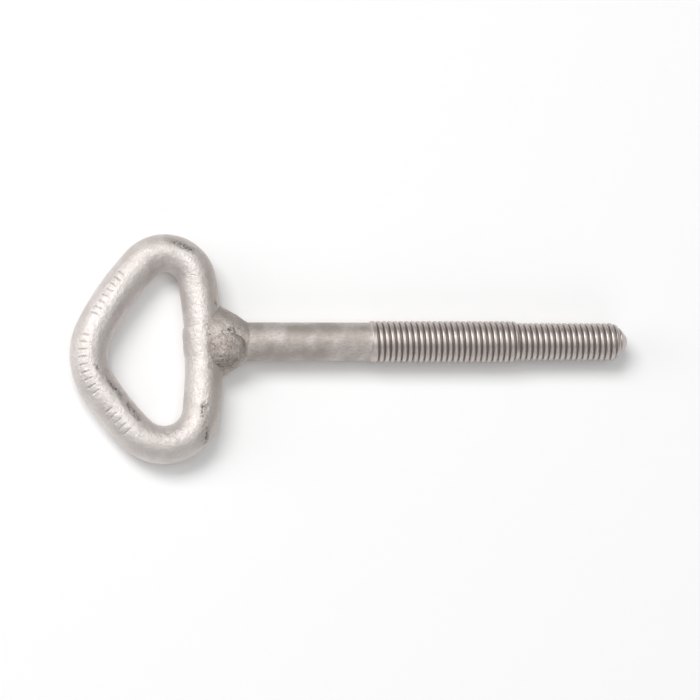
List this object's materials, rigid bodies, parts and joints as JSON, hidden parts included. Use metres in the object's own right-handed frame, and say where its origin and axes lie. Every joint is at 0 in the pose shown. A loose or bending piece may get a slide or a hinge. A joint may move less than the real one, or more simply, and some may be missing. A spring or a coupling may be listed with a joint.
{
  "type": "roof anchor",
  "caption": "Welded fall-protection anchor: closed triangular eye of bent round bar, welded square to a straight threaded rod.",
  "frame": {"origin": "on the rod's axis, in the plane where the root weld ends and the smooth rod begins: the plane that stands on the roof member", "axes": "+X along the rod into the drilled hole, +Z square to the flat eye on the side with the cover bead, +Y towards the eye's tighter corner"},
  "size_m": [0.1464, 0.0601, 0.0121],
  "materials": {
    "eye_steel": "pickled stainless steel, matt to satin, pale warm grey with fine pits",
    "rod_steel": "satin drawn stainless bar, rolled thread slightly brighter",
    "weld_steel": "pickled weld metal, rough and rippled, darker than the bar"
  },
  "bodies": {
    "root": {"eye_bar": "eye_steel", "eye_closing_weld": "eye_steel", "threaded_rod": "rod_steel", "root_weld": "weld_steel", "cover_weld_bead": "weld_steel"}
  },
  "joints": []
}
